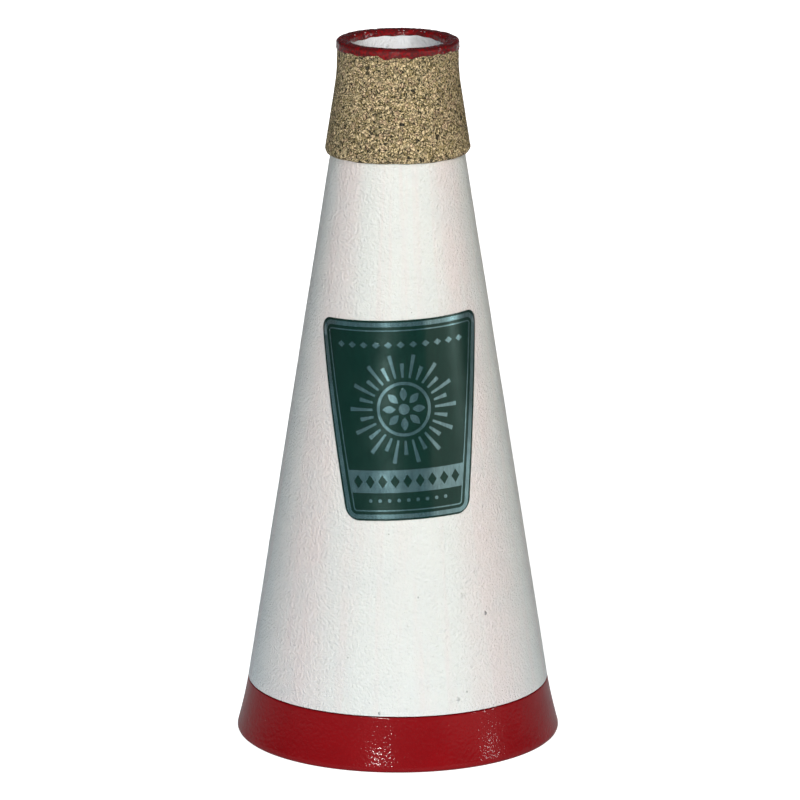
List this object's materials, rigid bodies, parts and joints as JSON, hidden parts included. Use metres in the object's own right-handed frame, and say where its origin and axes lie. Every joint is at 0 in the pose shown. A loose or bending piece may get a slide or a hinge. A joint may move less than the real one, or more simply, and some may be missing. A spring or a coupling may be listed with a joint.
{
  "type": "trumpet wah-wah mute",
  "caption": "Conical fibreboard trumpet mute with a full cork collar at its open narrow end, a red end ring and a sliding stem with a cup in its recessed wide end.",
  "frame": {"origin": "centre of the wide end's rest plane, on the mute's axis", "axes": "+Z along the mute's axis, from the wide end to the narrow end; -Y is the side with the label"},
  "size_m": [0.0758, 0.0758, 0.165],
  "materials": {
    "white_fibre": "satin white paint over rolled fibreboard",
    "lining": "matt mineral-filled lining",
    "cork": "filed granulated cork",
    "label_foil": "dark green print on silver foil",
    "red_lacquer": "gloss red lacquer over fibre",
    "red_board": "semi-gloss red lacquer over pressed board",
    "aluminium": "spun and polished",
    "washer_fibre": "bare grey fibre"
  },
  "bodies": {
    "mute": {"fibre_cone": "white_fibre", "inner_lining": "lining", "cork_collar": "cork", "label_plate": "label_foil", "end_ring": "red_lacquer", "end_dish": "red_board", "sleeve": "aluminium", "sleeve_washer": "washer_fibre", "sleeve_cork": "cork"},
    "stem": {"stem_tube": "aluminium", "stem_cup": "aluminium"}
  },
  "joints": [
    {"name": "stem_slide", "type": "slide", "parent": "mute", "child": "stem", "axis": [0, 0, -1], "range_m": [0, 0.083]}
  ]
}
